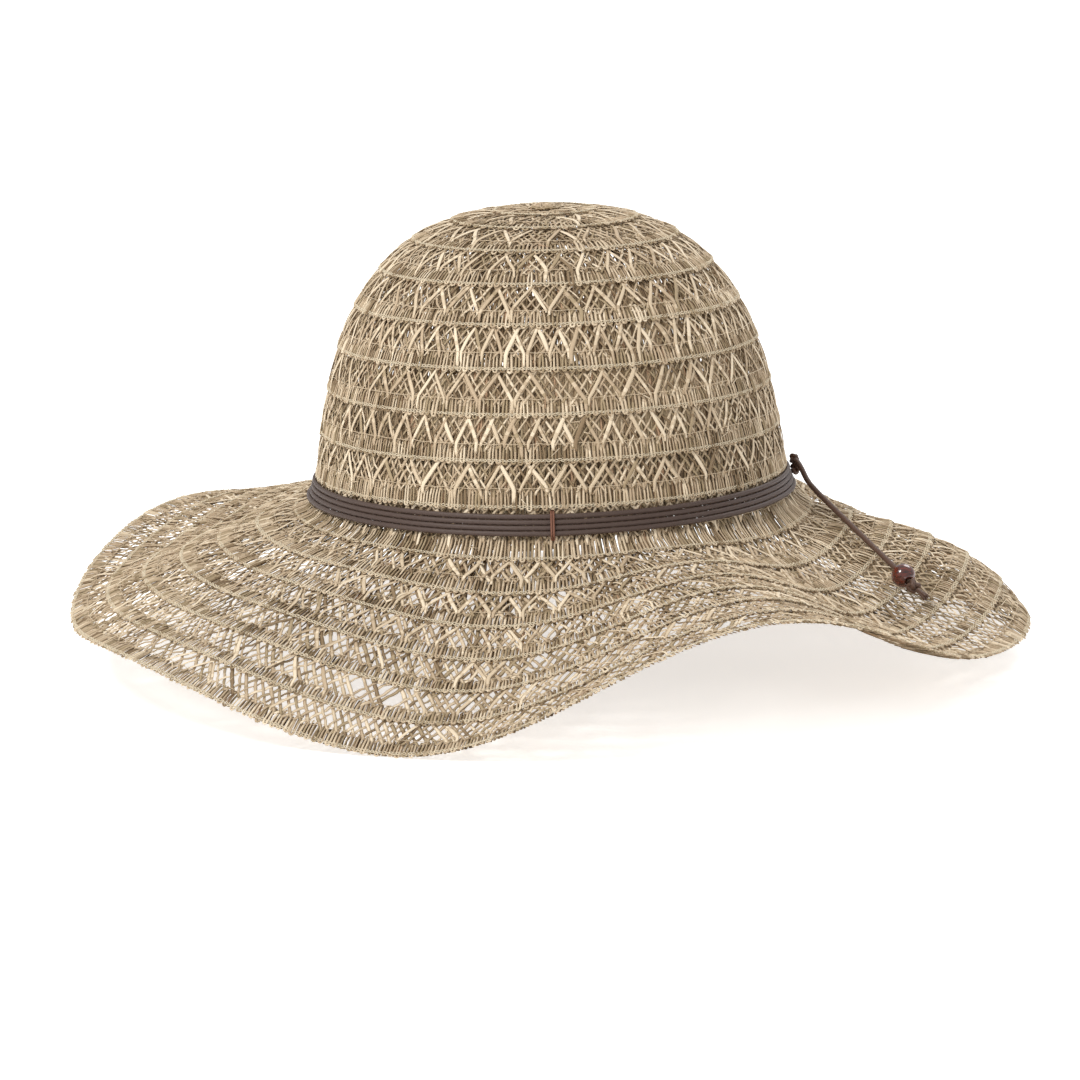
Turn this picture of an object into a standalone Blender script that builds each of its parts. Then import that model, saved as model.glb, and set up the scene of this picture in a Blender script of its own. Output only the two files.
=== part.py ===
"""Wide-brimmed straw sun hat with a wound cord band, a loose cord end and a sliding wood bead.

The hat is sewn from one long strip of openwork straw braid. Here each turn of the strip is a ring of its own:
ten turns make the crown and six make the brim, and every turn laps over the one below it like a shingle.
All sizes are in metres and all angles in degrees. Angle 0 on the hat is its front (-Y), and +90 is +X.
"""

import math

import bmesh
import bpy
import numpy as np
from mathutils import Matrix, Vector

# ---------------------------------------------------------------- driving dimensions
GAP = 0.0003                # clearance between pieces that touch

CROWN_RADIUS = 0.0932       # crown's mean radius at its base
CROWN_OVAL = 0.02           # share by which the front-to-back radius is larger, and the side one smaller
CROWN_HEIGHT = 0.1050       # base to top
CROWN_TAPER = 0.148         # share of the radius that the wall loses towards the top
DOME_SIDE_POWER = 2.85      # higher is a squarer shoulder
DOME_TOP_POWER = 3.2        # higher is a flatter top
BEND_LENGTH = 0.0155        # length of slope over which the wall turns into the brim

BRIM_WIDTH = 0.0957         # along its slope, from the bend to the outer edge
BRIM_SLOPE = 23.5           # mean slope below level where the brim starts
BRIM_CURL = -1.7             # mean extra slope at the outer edge
# Waves round the hat: size in degrees, and the angle of a crest. The first goes once round, the next twice...
SLOPE_WAVES = ((2.4, 28.9), (2.4, -45.0), (6.2, -20.5), (2.1, 20.3), (11.2, -21.4), (7.9, 0.5))
CURL_WAVES = ((7.4, 175.2), (10.0, -42.9), (16.9, 59.6), (16.9, -11.6), (20.2, 15.7), (21.3, -27.3))
# The line where crown meets brim dips, in metres: cosine once round, sine once round, cosine twice round
DIP = (-0.0025, -0.0029, 0.0003)
DIP_LENGTH = 0.0225         # length of slope over which the dip comes in, from the crown's base

CROWN_ROWS = 10
BRIM_ROWS = 6
LAST_CROWN_ROW = 0.0192     # the turn that makes the bend is the widest; the others above it share the rest
TIP_RADIUS = 0.0034         # inner radius of the first turn
TIP_TOP_SHARE = 0.7         # the button's top is this much narrower than its base
STRAW_THICKNESS = 0.0012
LAP = 0.0025                # how far each turn covers the next
LOWER_EDGE_LIFT = 0.0006    # how far a turn's lower edge stands out over the hat's outer surface
TUCK_SLOPE = 0.16           # the covered upper edge lies deeper by this share of the lap
UPPER_EDGE_DEPTH = STRAW_THICKNESS + TUCK_SLOPE * LAP
SHINGLE_LIFT = UPPER_EDGE_DEPTH + LOWER_EDGE_LIFT

SEAM_THREAD_RADIUS = 0.00035
SEAM_FROM_EDGE = 0.0012

SWEATBAND_HEIGHT = 0.030
SWEATBAND_BASE = 0.0008     # its lower edge, above the crown's base
SWEATBAND_THICKNESS = 0.0010
SWEATBAND_STITCH_RISE = 0.0024  # of its line of stitches above its lower edge
SWEATBAND_INSET = 0.0010    # between the crown's inner face and the sweatband, for the straw's own unevenness

BAND_CORDS = 4
BAND_CORD_RADIUS = 0.00090
BAND_DROP = 0.0008          # from the last seam on the crown's wall down to the band, at the sides
BAND_SAG = 0.0010           # how much lower the band lies at the front and back than at the sides
BAND_STAND_OFF = 0.0004     # extra room for the faceted bend behind the cords
STACKING_STEP = 0.00005     # in which the place of the next cord down is found

TIE_RADIUS = 0.0004
TIE_OVERHANG = 1.2          # how far the tie reaches past the outer cords, in cord radii
KNOT_ANGLE = 96.0
KNOT_CORD = 2               # the band's cord that the lower lump sits on, counted from 0
KNOT_SIZE = (0.0016, 0.0024, 0.0018)   # half sizes: outwards, along the band, up

TAIL_RADIUS = 0.0011
BEAD_RADIUS = 0.0046
BEAD_SPAN = 0.0080          # bead's length along its bore
BEAD_END_WALL = 0.00087     # wood left round the bore at the bead's ends
END_KNOT_RADIUS = 0.0027
STUB_LENGTH = 0.0052
STUB_FLARE = 1.45           # cut end's radius over the cord's

LEAN_BACK = 1.52            # how the hat sits on its wavy brim: front edge to back edge
LEAN_SIDE = 0.14            # and left edge to right edge

# Fineness of the round shapes
CROWN_SEGMENTS = 40
BRIM_SEGMENTS = 64
TIP_SEGMENTS = 16
ROW_STATIONS = 3            # points across a turn
BEND_STATIONS = 8           # and across the turn that bends from the wall into the brim
THREAD_SIDES = 3
BAND_SIDES = 6
LUMP_SEGMENTS = (12, 8)
BEAD_SIDES = 16
BEAD_RINGS = 9
STUB_SIDES = 10
EDGE_ANGLE = 50.0           # edges bent by more than this stay sharp
LUMP_EDGE_ANGLE = 80.0      # on rounded lumps
THREAD_EDGE_ANGLE = 130.0   # and on three-sided threads
OUTLINE_STEPS = 1200        # steps in which the crown's outline is measured
FLARE_STEPS = 240           # and the brim's
SPLINE_STEPS = 24           # and each span of a smooth route

# Looks: colour (linear RGB) and roughness
STRAW = ((0.42, 0.34, 0.21), 0.75)
THREAD = ((0.58, 0.52, 0.40), 0.80)
FABRIC = ((0.50, 0.44, 0.34), 0.90)
CORD = ((0.075, 0.052, 0.045), 0.60)
TIE = ((0.10, 0.045, 0.030), 0.60)
WOOD = ((0.060, 0.016, 0.010), 0.20)


# ---------------------------------------------------------------- the hat's surface
def wave_sum(mean, waves, angle):
    """A value that rises and falls round the hat."""
    total = mean
    for turn, (size, crest) in enumerate(waves, start=1):
        total += size * math.cos(turn * math.radians(angle) - turn * math.radians(crest))
    return total


def crown_outline():
    """Distance from the top, radius, height and slope along the crown's outline, from its top to its base."""
    lift = np.linspace(math.pi / 2, 0.0, OUTLINE_STEPS)
    height = CROWN_HEIGHT * np.sin(lift) ** (2 / DOME_TOP_POWER)
    taper = 1 - CROWN_TAPER * height / CROWN_HEIGHT
    radius = CROWN_RADIUS * taper * np.maximum(np.cos(lift), 0.0) ** (2 / DOME_SIDE_POWER)
    step = np.hypot(np.diff(radius), np.diff(height))
    along = np.concatenate(([0.0], np.cumsum(step)))
    slope = np.degrees(np.arctan2(-np.gradient(height, along), np.gradient(radius, along)))
    return along, radius, height, slope


OUTLINE = crown_outline()
WALL_END = float(OUTLINE[0][-1])
WALL_SLOPE = float(OUTLINE[3][-2])
CROWN_END = WALL_END + BEND_LENGTH
CROWN_PITCH = (CROWN_END - LAST_CROWN_ROW - TIP_RADIUS) / (CROWN_ROWS - 1)
BRIM_PITCH = BRIM_WIDTH / BRIM_ROWS


def dip(angle):
    a = math.radians(angle)
    return DIP[0] * math.cos(a) + DIP[1] * math.sin(a) + DIP[2] * math.cos(2 * a)


def flare(angle):
    """Distance past the crown's base, radius, height and slope, through the bend and out to the brim's edge."""
    past = np.linspace(0.0, BEND_LENGTH + BRIM_WIDTH, FLARE_STEPS)
    start = wave_sum(BRIM_SLOPE, SLOPE_WAVES, angle)
    curl = wave_sum(BRIM_CURL, CURL_WAVES, angle)
    in_bend = WALL_SLOPE + (start - WALL_SLOPE) * past / BEND_LENGTH
    share = np.maximum(past - BEND_LENGTH, 0.0) / BRIM_WIDTH
    slope = np.where(past < BEND_LENGTH, in_bend, start + curl * share ** 2)
    tilt = np.radians((slope[1:] + slope[:-1]) / 2)
    radius = np.concatenate(([0.0], np.cumsum(np.cos(tilt) * np.diff(past))))
    height = -np.concatenate(([0.0], np.cumsum(np.sin(tilt) * np.diff(past))))
    return past, radius, height, slope


FLARES = {}


def outline_point(along, angle, offset=0.0):
    """Radius and height of a point at a distance from the top, lifted off the surface by offset."""
    oval = 1 + CROWN_OVAL * math.cos(2 * math.radians(angle))
    if along <= WALL_END:
        radius = float(np.interp(along, OUTLINE[0], OUTLINE[1])) * oval
        height = float(np.interp(along, OUTLINE[0], OUTLINE[2]))
        slope = float(np.interp(along, OUTLINE[0], OUTLINE[3]))
    else:
        if angle not in FLARES:
            FLARES[angle] = flare(angle)
        table = FLARES[angle]
        past = along - WALL_END
        radius = CROWN_RADIUS * oval + float(np.interp(past, table[0], table[1]))
        height = float(np.interp(past, table[0], table[2]))
        slope = float(np.interp(past, table[0], table[3]))
    share = min(max((along - WALL_END) / DIP_LENGTH, 0.0), 1.0)
    height += dip(angle) * share * share * (3 - 2 * share)
    tilt = math.radians(slope)
    return radius + offset * math.sin(tilt), height + offset * math.cos(tilt)


def place(angle, radius, height):
    a = math.radians(angle)
    return Vector((radius * math.sin(a), -radius * math.cos(a), height))


def surface(along, angle, offset=0.0):
    return place(angle, *outline_point(along, angle, offset))


def seam_at(number):
    """Distance from the top to a seam. Seam 0 is the tip's rim, and seam n is the lower edge of the nth turn."""
    if number < CROWN_ROWS:
        return TIP_RADIUS + number * CROWN_PITCH
    return CROWN_END + (number - CROWN_ROWS) * BRIM_PITCH


def row_start(row):
    """Distance from the top at which a turn of the braid starts, under the one before. Turns count from 0."""
    covered = 0.0 if row == 0 else LAP
    return seam_at(row) - covered


def row_end(row):
    return seam_at(row + 1)


def row_offset(row, along):
    share = (along - row_start(row)) / (row_end(row) - row_start(row))
    return SHINGLE_LIFT * share - UPPER_EDGE_DEPTH


# ---------------------------------------------------------------- making objects
def clear_scene():
    for item in list(bpy.data.objects):
        bpy.data.objects.remove(item, do_unlink=True)


def material(name, colour, roughness):
    made = bpy.data.materials.new(name)
    made.use_nodes = True
    shader = made.node_tree.nodes["Principled BSDF"]
    shader.inputs["Base Color"].default_value = (*colour, 1.0)
    shader.inputs["Roughness"].default_value = roughness
    shader.inputs["Metallic"].default_value = 0.0
    return made


def add_object(name, mesh_or_curve, parent, look):
    item = bpy.data.objects.new(name, mesh_or_curve)
    bpy.context.scene.collection.objects.link(item)
    item.parent = parent
    mesh_or_curve.materials.append(look)
    return item


def finish_mesh(shape, name, parent, look, sharp=EDGE_ANGLE):
    bmesh.ops.recalc_face_normals(shape, faces=shape.faces)
    mesh = bpy.data.meshes.new(name)
    shape.to_mesh(mesh)
    shape.free()
    mesh.shade_smooth()
    mesh.set_sharp_from_angle(angle=math.radians(sharp))
    return add_object(name, mesh, parent, look)


def join_loops(shape, loops):
    """Faces between each closed loop of corners and the next, round to the first again."""
    for loop, following in zip(loops, loops[1:] + loops[:1]):
        for corner in range(len(loop)):
            other = (corner + 1) % len(loop)
            shape.faces.new((loop[corner], loop[other], following[other], following[corner]))


def add_ring(shape, segments, section):
    """A closed ring: section(angle) gives the outline's (radius, height) points, the same number at each angle."""
    loops = []
    for index in range(segments):
        angle = 360.0 * index / segments - 180.0
        loops.append([shape.verts.new(place(angle, *point)) for point in section(angle)])
    join_loops(shape, loops)


def strip_section(stations, offset_at, thickness):
    """A section maker for a thin strip that follows the hat's surface through the given distances."""
    def section(angle):
        outer = [outline_point(s, angle, offset_at(s) + thickness / 2) for s in stations]
        inner = [outline_point(s, angle, offset_at(s) - thickness / 2) for s in reversed(stations)]
        return outer + inner
    return section


def round_section(centre, radius, sides):
    """A section maker for a thin cord: centre(angle) gives its middle's radius and height."""
    def section(angle):
        middle = centre(angle)
        turns = [2 * math.pi * side / sides for side in range(sides)]
        return [(middle[0] + radius * math.cos(t), middle[1] + radius * math.sin(t)) for t in turns]
    return section


def tube(name, points, radius, parent, look, resolution=2):
    """A round cord with filled ends along a list of points."""
    curve = bpy.data.curves.new(name, "CURVE")
    curve.dimensions = "3D"
    curve.bevel_depth = radius
    curve.bevel_resolution = resolution
    curve.use_fill_caps = True
    spline = curve.splines.new("POLY")
    spline.points.add(len(points) - 1)
    for slot, point in zip(spline.points, points):
        slot.co = (*point, 1.0)
    spline.use_smooth = True
    return add_object(name, curve, parent, look)


def smooth_route(points, count):
    """Evenly spaced points on one smooth curve (a Catmull-Rom spline) through the given points."""
    guides = [Vector(p) for p in points]
    guides = [2 * guides[0] - guides[1]] + guides + [2 * guides[-1] - guides[-2]]
    fine = []
    for p0, p1, p2, p3 in zip(guides, guides[1:], guides[2:], guides[3:]):
        for step in range(SPLINE_STEPS):
            t = step / SPLINE_STEPS
            fine.append(0.5 * ((2 * p1) + (p2 - p0) * t + (2 * p0 - 5 * p1 + 4 * p2 - p3) * t * t
                               + (3 * p1 - p0 - 3 * p2 + p3) * t * t * t))
    fine.append(guides[-2])
    reach = [0.0]
    for a, b in zip(fine, fine[1:]):
        reach.append(reach[-1] + (b - a).length)
    even = np.linspace(0.0, reach[-1], count)
    axes = [np.interp(even, reach, [p[axis] for p in fine]) for axis in range(3)]
    return [Vector(p) for p in zip(*axes)]


# ---------------------------------------------------------------- straw
def add_tip(parent, look):
    """The wound-up start of the braid: a small button over the first turn's inner edge."""
    rim = TIP_RADIUS + LAP
    lift = STRAW_THICKNESS + 2 * GAP - UPPER_EDGE_DEPTH
    shape = bmesh.new()
    made = bmesh.ops.create_cone(shape, cap_ends=True, segments=TIP_SEGMENTS, radius1=rim,
                                 radius2=rim * TIP_TOP_SHARE, depth=STRAW_THICKNESS)
    bmesh.ops.translate(shape, verts=made["verts"], vec=(0.0, 0.0, CROWN_HEIGHT + lift))
    return finish_mesh(shape, "crown_tip", parent, look)


def add_row(row, parent, look):
    """One turn of the braid."""
    start = row_start(row)
    end = row_end(row)
    on_brim = row >= CROWN_ROWS
    if row == CROWN_ROWS - 1:
        stations = list(np.linspace(start, end, BEND_STATIONS))
    else:
        stations = list(np.linspace(start, end, ROW_STATIONS))
    name = f"brim_braid_row_{row - CROWN_ROWS + 1:02d}" if on_brim else f"crown_braid_row_{row + 1:02d}"
    shape = bmesh.new()
    section = strip_section(stations, lambda s: row_offset(row, s), STRAW_THICKNESS)
    add_ring(shape, BRIM_SEGMENTS if row >= CROWN_ROWS - 1 else CROWN_SEGMENTS, section)
    return finish_mesh(shape, name, parent, look)


def add_seam(row, parent, look):
    """The line of stitches along the lower edge of one turn: a closed thread."""
    along = row_end(row) - SEAM_FROM_EDGE
    clear = row_offset(row, along) + STRAW_THICKNESS / 2 + GAP + SEAM_THREAD_RADIUS
    on_brim = row >= CROWN_ROWS - 1
    name = f"brim_seam_thread_{row - CROWN_ROWS + 2:02d}" if on_brim else f"crown_seam_thread_{row + 1:02d}"
    shape = bmesh.new()
    add_ring(shape, BRIM_SEGMENTS if on_brim else CROWN_SEGMENTS,
             round_section(lambda angle: outline_point(along, angle, clear), SEAM_THREAD_RADIUS,
                           THREAD_SIDES))
    return finish_mesh(shape, name, parent, look, sharp=THREAD_EDGE_ANGLE)


# ---------------------------------------------------------------- sweatband
def sweatband_offset():
    return -(UPPER_EDGE_DEPTH + STRAW_THICKNESS / 2 + SWEATBAND_INSET + SWEATBAND_THICKNESS / 2)


def add_sweatband(parent, look, thread):
    bottom = WALL_END - SWEATBAND_BASE
    top = bottom - SWEATBAND_HEIGHT
    shape = bmesh.new()
    add_ring(shape, CROWN_SEGMENTS,
             strip_section([top, (top + bottom) / 2, bottom], lambda s: sweatband_offset(), SWEATBAND_THICKNESS))
    finish_mesh(shape, "sweatband", parent, look)
    inner = sweatband_offset() - SWEATBAND_THICKNESS / 2 - GAP - SEAM_THREAD_RADIUS
    shape = bmesh.new()
    add_ring(shape, CROWN_SEGMENTS,
             round_section(lambda angle: outline_point(bottom - SWEATBAND_STITCH_RISE, angle, inner),
                           SEAM_THREAD_RADIUS, THREAD_SIDES))
    finish_mesh(shape, "sweatband_stitching", parent, thread, sharp=THREAD_EDGE_ANGLE)


# ---------------------------------------------------------------- cord band
def band_centre(cord, angle):
    """Middle of one of the band's cords: they lie against the crown one below the other, just touching."""
    row = CROWN_ROWS - 1
    apart = 2 * BAND_CORD_RADIUS + GAP

    def middle(along):
        lift = row_offset(row, along) + STRAW_THICKNESS / 2 + GAP + BAND_CORD_RADIUS + BAND_STAND_OFF
        return Vector(outline_point(along, angle, lift))

    sag = BAND_SAG * math.cos(math.radians(angle)) ** 2
    along = row_end(row - 1) + BAND_DROP + BAND_CORD_RADIUS + sag
    here = middle(along)
    for _ in range(cord):
        last = here
        while (here - last).length < apart:
            along += STACKING_STEP
            here = middle(along)
    return here


def band_outside(cord, angle, clear):
    """A point that stands out from one of the band's cords by the given distance from its middle."""
    here = band_centre(cord, angle)
    along_band = band_centre(BAND_CORDS - 1, angle) - band_centre(0, angle)
    along_band.normalize()
    out = Vector((-along_band[1], along_band[0]))
    return here + out * clear, out, along_band


def add_band(parent, look):
    for cord in range(BAND_CORDS):
        shape = bmesh.new()
        add_ring(shape, CROWN_SEGMENTS,
                 round_section(lambda angle: band_centre(cord, angle), BAND_CORD_RADIUS, BAND_SIDES))
        finish_mesh(shape, f"band_cord_{cord + 1}", parent, look)


def add_front_tie(parent, look):
    """A short thread tied down over the band's cords at the front."""
    clear = BAND_CORD_RADIUS + GAP + TIE_RADIUS
    route = []
    for cord in range(BAND_CORDS):
        point, _, _ = band_outside(cord, 0.0, clear)
        route.append(place(0.0, *point))
    first, _, down = band_outside(0, 0.0, clear)
    last, _, _ = band_outside(BAND_CORDS - 1, 0.0, clear)
    route.insert(0, place(0.0, *(first - down * BAND_CORD_RADIUS * TIE_OVERHANG)))
    route.append(place(0.0, *(last + down * BAND_CORD_RADIUS * TIE_OVERHANG)))
    tube("band_front_tie", route, TIE_RADIUS, parent, look, resolution=1)


def add_lump(name, centre, outward, upward, parent, look):
    """A rounded lump of knotted cord: its three half sizes point outwards, along the band and up."""
    frame = Matrix((outward, upward.cross(outward), upward)).transposed().to_4x4()
    frame.translation = centre
    shape = bmesh.new()
    bmesh.ops.create_uvsphere(shape, u_segments=LUMP_SEGMENTS[0], v_segments=LUMP_SEGMENTS[1], radius=1.0)
    bmesh.ops.scale(shape, verts=shape.verts, vec=KNOT_SIZE)
    bmesh.ops.transform(shape, matrix=frame, verts=shape.verts)
    finish_mesh(shape, name, parent, look, sharp=LUMP_EDGE_ANGLE)


def add_side_knot(parent, look):
    """Two lumps of cord: one on the band's cords, and one above them that the loose cord end comes out of."""
    point, out, down = band_outside(KNOT_CORD, KNOT_ANGLE, BAND_CORD_RADIUS + GAP + KNOT_SIZE[0])
    outward = place(KNOT_ANGLE, *out).normalized()
    upward = -place(KNOT_ANGLE, *down).normalized()
    add_lump("side_knot_lower", place(KNOT_ANGLE, *point), outward, upward, parent, look)

    start = Vector(TAIL_ROUTE[0])
    back = (start - Vector(TAIL_ROUTE[1])).normalized()
    upward = Vector((0.0, 0.0, 1.0))
    outward = back.cross(upward).normalized()
    add_lump("side_knot_upper", start + back * (KNOT_SIZE[1] + GAP), outward, outward.cross(back), parent, look)


# ---------------------------------------------------------------- loose cord end with its bead
TAIL_ROUTE = (
    (0.0956, 0.0085, 0.0027),
    (0.0961, 0.0054, 0.0026),
    (0.0974, 0.0015, 0.0007),
    (0.0995, -0.0037, -0.0034),
    (0.1021, -0.0083, -0.0063),
    (0.1080, -0.0181, -0.0115),
    (0.1139, -0.0279, -0.0164),
    (0.1198, -0.0377, -0.0213),
    (0.1257, -0.0475, -0.0262),
    (0.1304, -0.0553, -0.0301),
)
TAIL_POINTS = 30


def tail_direction():
    return (Vector(TAIL_ROUTE[-1]) - Vector(TAIL_ROUTE[-2])).normalized()


def bead_centre():
    return Vector(TAIL_ROUTE[-1]) + tail_direction() * (BEAD_SPAN / 2)


def along_tail(centre):
    """A frame at centre whose Z axis runs along the cord."""
    turn = tail_direction().to_track_quat("Z", "X").to_matrix().to_4x4()
    turn.translation = centre
    return turn


def add_bead(centre, parent, look):
    """A short barrel with a bore that it slides on, turned about the cord."""
    bore = TAIL_RADIUS + GAP
    half = BEAD_SPAN / 2
    lip = math.asin((bore + BEAD_END_WALL) / BEAD_RADIUS)
    reach = half / math.cos(lip)
    outline = []
    for ring in range(BEAD_RINGS):
        turn = lip + (math.pi - 2 * lip) * ring / (BEAD_RINGS - 1)
        outline.append((BEAD_RADIUS * math.sin(turn), reach * math.cos(turn)))
    outline += [(bore, -half), (bore, half)]
    shape = bmesh.new()
    loops = []
    for side in range(BEAD_SIDES):
        turn = 2 * math.pi * side / BEAD_SIDES
        loops.append([shape.verts.new((r * math.cos(turn), r * math.sin(turn), z)) for r, z in outline])
    join_loops(shape, loops)
    bmesh.ops.transform(shape, matrix=along_tail(centre), verts=shape.verts)
    finish_mesh(shape, "wood_bead", parent, look)


def add_end_knot(centre, parent, look):
    shape = bmesh.new()
    bmesh.ops.create_uvsphere(shape, u_segments=LUMP_SEGMENTS[0], v_segments=LUMP_SEGMENTS[1],
                              radius=END_KNOT_RADIUS)
    bmesh.ops.transform(shape, matrix=along_tail(centre), verts=shape.verts)
    finish_mesh(shape, "tail_end_knot", parent, look, sharp=LUMP_EDGE_ANGLE)


def add_cut_end(centre, parent, look):
    """The cord's cut end past the knot, a little wider where its strands spread."""
    shape = bmesh.new()
    bmesh.ops.create_cone(shape, cap_ends=True, segments=STUB_SIDES, radius1=TAIL_RADIUS,
                          radius2=TAIL_RADIUS * STUB_FLARE, depth=STUB_LENGTH)
    bmesh.ops.transform(shape, matrix=along_tail(centre), verts=shape.verts)
    finish_mesh(shape, "tail_cut_end", parent, look)


def add_tail(parent, cord, wood):
    """The cord end hangs from a pivot at the top of its start, so that it swings up clear of the knot behind it."""
    pivot_at = Vector(TAIL_ROUTE[0]) + Vector((0.0, 0.0, TAIL_RADIUS))
    pivot = bpy.data.objects.new("tail_pivot", None)
    bpy.context.scene.collection.objects.link(pivot)
    pivot.parent = parent
    pivot.location = pivot_at

    heading = tail_direction()
    far_end = Vector(TAIL_ROUTE[-1]) + heading * (BEAD_SPAN + GAP)
    route = smooth_route([*TAIL_ROUTE, far_end], TAIL_POINTS)
    tube("tail_cord", [point - pivot_at for point in route], TAIL_RADIUS, pivot, cord)
    add_bead(bead_centre() - pivot_at, pivot, wood)
    knot_at = far_end + heading * (GAP + END_KNOT_RADIUS)
    add_end_knot(knot_at - pivot_at, pivot, cord)
    stub_at = knot_at + heading * (END_KNOT_RADIUS + GAP + STUB_LENGTH / 2)
    add_cut_end(stub_at - pivot_at, pivot, cord)


# ---------------------------------------------------------------- assembly
def resting_place():
    """The leaning frame that puts the brim's lowest point on Z = 0 and the brim's middle over the origin."""
    lean = Matrix.Rotation(math.radians(LEAN_SIDE), 4, "Y") @ Matrix.Rotation(math.radians(-LEAN_BACK), 4, "X")
    corners = []
    for row in range(CROWN_ROWS, CROWN_ROWS + BRIM_ROWS):
        section = strip_section([row_start(row), (row_start(row) + row_end(row)) / 2, row_end(row)],
                                lambda s: row_offset(row, s), STRAW_THICKNESS)
        for index in range(BRIM_SEGMENTS):
            angle = 360.0 * index / BRIM_SEGMENTS - 180.0
            corners += [lean @ place(angle, *point) for point in section(angle)]
    low = [min(c[axis] for c in corners) for axis in range(3)]
    high = [max(c[axis] for c in corners) for axis in range(3)]
    lean.translation = (-(low[0] + high[0]) / 2, -(low[1] + high[1]) / 2, -low[2])
    return lean


def build():
    clear_scene()
    straw = material("straw", *STRAW)
    thread = material("seam_thread", *THREAD)
    fabric = material("sweatband_fabric", *FABRIC)
    cord = material("band_cord", *CORD)
    tie = material("tie_thread", *TIE)
    wood = material("bead_wood", *WOOD)

    hat = bpy.data.objects.new("hat_frame", None)
    bpy.context.scene.collection.objects.link(hat)
    hat.matrix_world = resting_place()

    add_tip(hat, straw)
    for row in range(CROWN_ROWS + BRIM_ROWS):
        add_row(row, hat, straw)
        add_seam(row, hat, thread)
    add_sweatband(hat, fabric, thread)
    add_band(hat, cord)
    add_front_tie(hat, tie)
    add_side_knot(hat, cord)
    add_tail(hat, cord, wood)


build()
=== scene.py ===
"""Looks of the straw sun hat: every straw of the openwork braid, the stitching, the sweatband, the wound cord
band and the loose cord end with its wood bead. Sizes are in metres and named angles in degrees."""
import math

import bpy
import numpy as np
from mathutils import Matrix, Vector


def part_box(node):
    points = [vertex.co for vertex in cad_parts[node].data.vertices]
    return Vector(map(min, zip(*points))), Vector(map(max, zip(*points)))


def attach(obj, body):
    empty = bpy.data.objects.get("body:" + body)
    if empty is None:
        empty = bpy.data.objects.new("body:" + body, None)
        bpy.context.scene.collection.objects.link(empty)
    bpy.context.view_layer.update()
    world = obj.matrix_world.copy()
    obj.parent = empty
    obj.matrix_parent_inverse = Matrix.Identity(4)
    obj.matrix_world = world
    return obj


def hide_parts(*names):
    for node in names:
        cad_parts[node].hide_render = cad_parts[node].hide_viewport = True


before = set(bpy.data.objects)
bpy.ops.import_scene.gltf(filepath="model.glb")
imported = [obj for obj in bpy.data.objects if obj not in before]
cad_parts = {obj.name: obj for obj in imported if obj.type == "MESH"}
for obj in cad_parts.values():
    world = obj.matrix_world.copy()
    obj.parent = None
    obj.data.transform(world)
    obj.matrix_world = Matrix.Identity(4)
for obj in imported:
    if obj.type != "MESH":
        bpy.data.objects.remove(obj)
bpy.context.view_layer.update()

# ---------------- the CAD's own dimensions
GAP = 0.0003
CROWN_RADIUS = 0.0932
CROWN_OVAL = 0.02
CROWN_HEIGHT = 0.1050
CROWN_TAPER = 0.148
DOME_SIDE_POWER = 2.85
DOME_TOP_POWER = 3.2
BEND_LENGTH = 0.0155
BRIM_WIDTH = 0.0957
BRIM_SLOPE = 23.5
BRIM_CURL = -1.7
SLOPE_WAVES = ((2.4, 28.9), (2.4, -45.0), (6.2, -20.5), (2.1, 20.3), (11.2, -21.4), (7.9, 0.5))
CURL_WAVES = ((7.4, 175.2), (10.0, -42.9), (16.9, 59.6), (16.9, -11.6), (20.2, 15.7), (21.3, -27.3))
DIP = (-0.0025, -0.0029, 0.0003)
DIP_LENGTH = 0.0225
CROWN_ROWS = 10
BRIM_ROWS = 6
LAST_CROWN_ROW = 0.0192
TIP_RADIUS = 0.0034
STRAW_THICKNESS = 0.0012
LAP = 0.0025
LOWER_EDGE_LIFT = 0.0006
TUCK_SLOPE = 0.16
UPPER_EDGE_DEPTH = STRAW_THICKNESS + TUCK_SLOPE * LAP
SHINGLE_LIFT = UPPER_EDGE_DEPTH + LOWER_EDGE_LIFT
SEAM_FROM_EDGE = 0.0012
SWEATBAND_HEIGHT = 0.030
SWEATBAND_BASE = 0.0008
SWEATBAND_THICKNESS = 0.0010
SWEATBAND_INSET = 0.0010
BAND_CORDS = 4
BAND_CORD_RADIUS = 0.00090
BAND_DROP = 0.0008
BAND_SAG = 0.0010
BAND_STAND_OFF = 0.0004
TIE_RADIUS = 0.0004
KNOT_ANGLE = 96.0
KNOT_SIZE = (0.0016, 0.0024, 0.0018)
TAIL_RADIUS = 0.0011
BEAD_RADIUS = 0.0046
BEAD_SPAN = 0.0080
END_KNOT_RADIUS = 0.0027
STUB_LENGTH = 0.0052
LEAN_BACK = 1.52
LEAN_SIDE = 0.14
TAIL_ROUTE = (
    (0.0956, 0.0085, 0.0027),
    (0.0961, 0.0054, 0.0026),
    (0.0974, 0.0015, 0.0007),
    (0.0995, -0.0037, -0.0034),
    (0.1021, -0.0083, -0.0063),
    (0.1080, -0.0181, -0.0115),
    (0.1139, -0.0279, -0.0164),
    (0.1198, -0.0377, -0.0213),
    (0.1257, -0.0475, -0.0262),
    (0.1304, -0.0553, -0.0301),
)
OUTLINE_STEPS = 1200
SPLINE_STEPS = 24
STACKING_STEP = 0.00005

# ---------------- the braid
TOOTH_PITCH = 0.00135        # between straws of the comb along a turn's lower edge
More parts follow.
